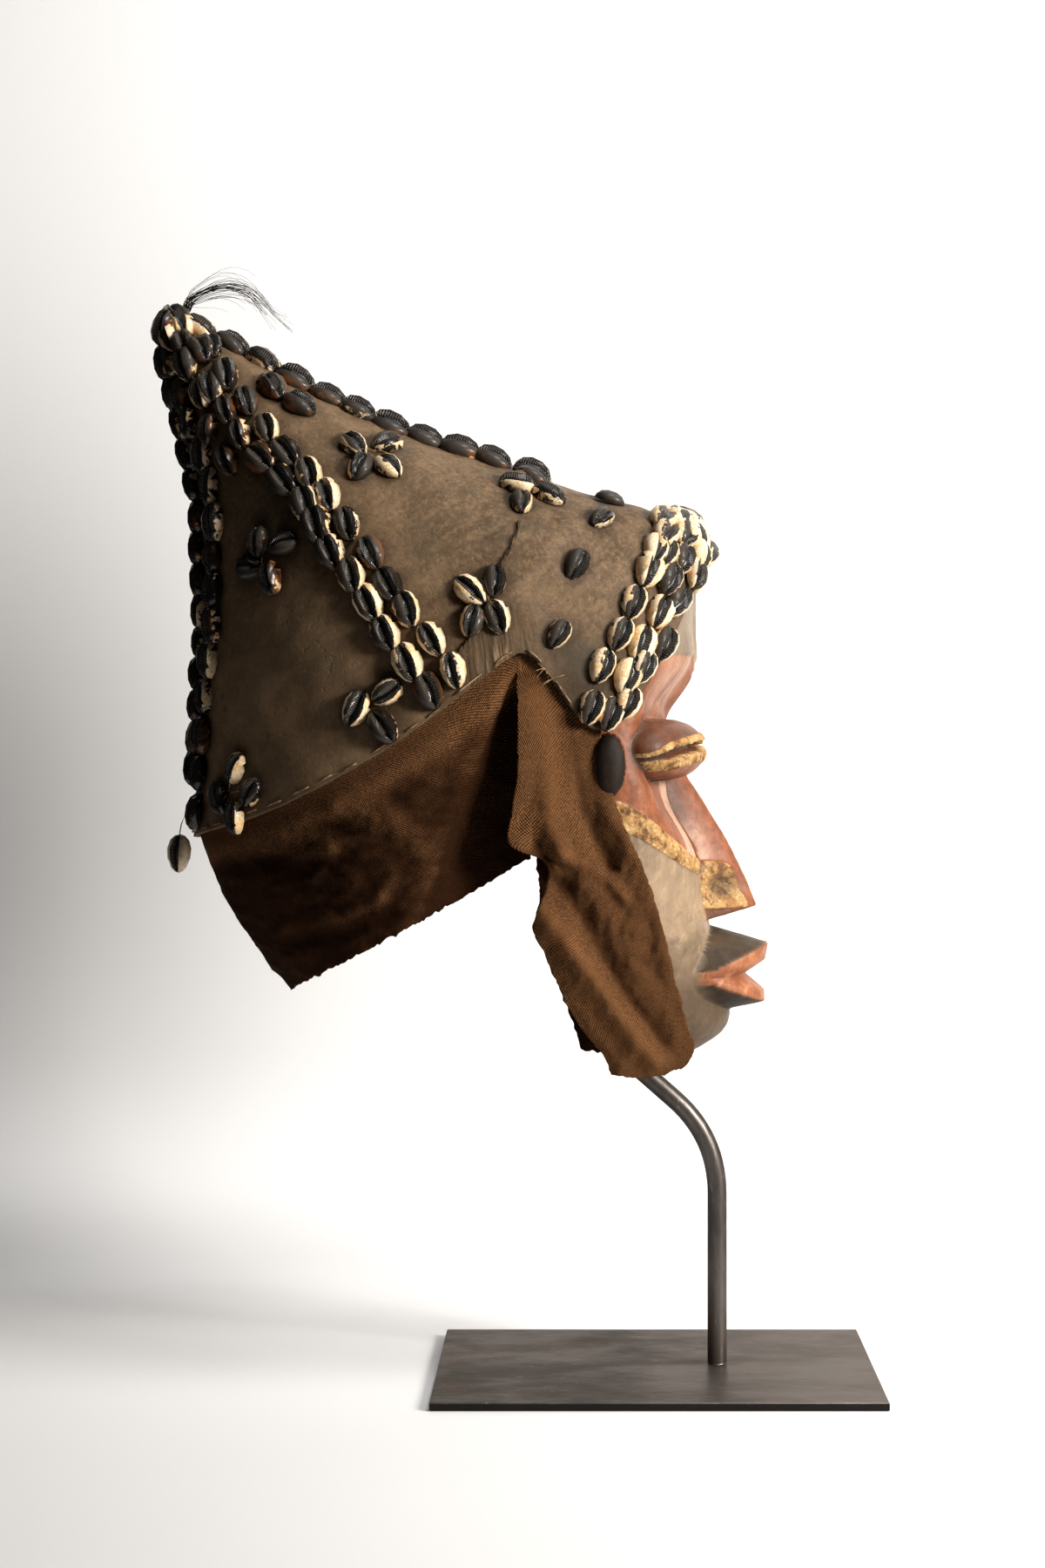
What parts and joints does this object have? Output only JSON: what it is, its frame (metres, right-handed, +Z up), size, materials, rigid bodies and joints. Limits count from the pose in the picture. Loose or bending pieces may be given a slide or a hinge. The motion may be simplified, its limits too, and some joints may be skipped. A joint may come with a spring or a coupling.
{
  "type": "african face mask with cowrie hood on stand",
  "caption": "Carved wooden face mask under a tall pointed leather hood sewn with cowries, with a neck cloth, standing on a bent steel rod with a flat plate.",
  "frame": {"origin": "centre of the base plate's underside, on the surface that the mask stands on", "axes": "+Z up, +X the way the mask faces, +Y towards the mask's left side"},
  "size_m": [0.4451, 0.22, 0.6847],
  "materials": {
    "steel": "dark mottled patina, half gloss",
    "wood": "carved, worn, with red and ochre pigment in the eye field",
    "leather": "dry, mottled, dull",
    "cloth": "coarse weave, frayed",
    "shell": "dark glossy shells with worn cream rims",
    "hair": "thin dark hairs"
  },
  "bodies": {
    "root": {"base_plate": "steel", "support_rod": "steel", "wooden_face": "wood", "leather_hood": "leather", "neck_cloth": "cloth", "front_rim_cowries": "shell", "front_middle_cowries": "shell", "front_crown_cowries": "shell", "ridge_cowries_right": "shell", "ridge_cowries_left": "shell", "back_seam_cowries_right": "shell", "back_seam_cowries_left": "shell", "back_rear_cowries_right": "shell", "back_rear_cowries_left": "shell", "tip_middle_cowries_right": "shell", "tip_middle_cowries_left": "shell", "tip_front_cowries_right": "shell", "tip_front_cowries_left": "shell", "tip_rear_cowries_right": "shell", "tip_rear_cowries_left": "shell", "slant_upper_cowries_right": "shell", "slant_upper_cowries_left": "shell", "slant_lower_cowries_right": "shell", "slant_lower_cowries_left": "shell", "crown_rosette_right": "shell", "crown_rosette_left": "shell", "ridge_rosette_right": "shell", "ridge_rosette_left": "shell", "temple_rosette_right": "shell", "temple_rosette_left": "shell", "rear_rosette_right": "shell", "rear_rosette_left": "shell", "cheek_rosette_right": "shell", "cheek_rosette_left": "shell", "nape_rosette_right": "shell", "nape_rosette_left": "shell", "brow_cowrie_right": "shell", "brow_cowrie_left": "shell", "side_cowrie_right": "shell", "side_cowrie_left": "shell", "upper_cowrie_right": "shell", "upper_cowrie_left": "shell", "top_cowrie_right": "shell", "top_cowrie_left": "shell", "hanging_cowrie": "shell", "hair_tuft": "hair"}
  },
  "joints": []
}
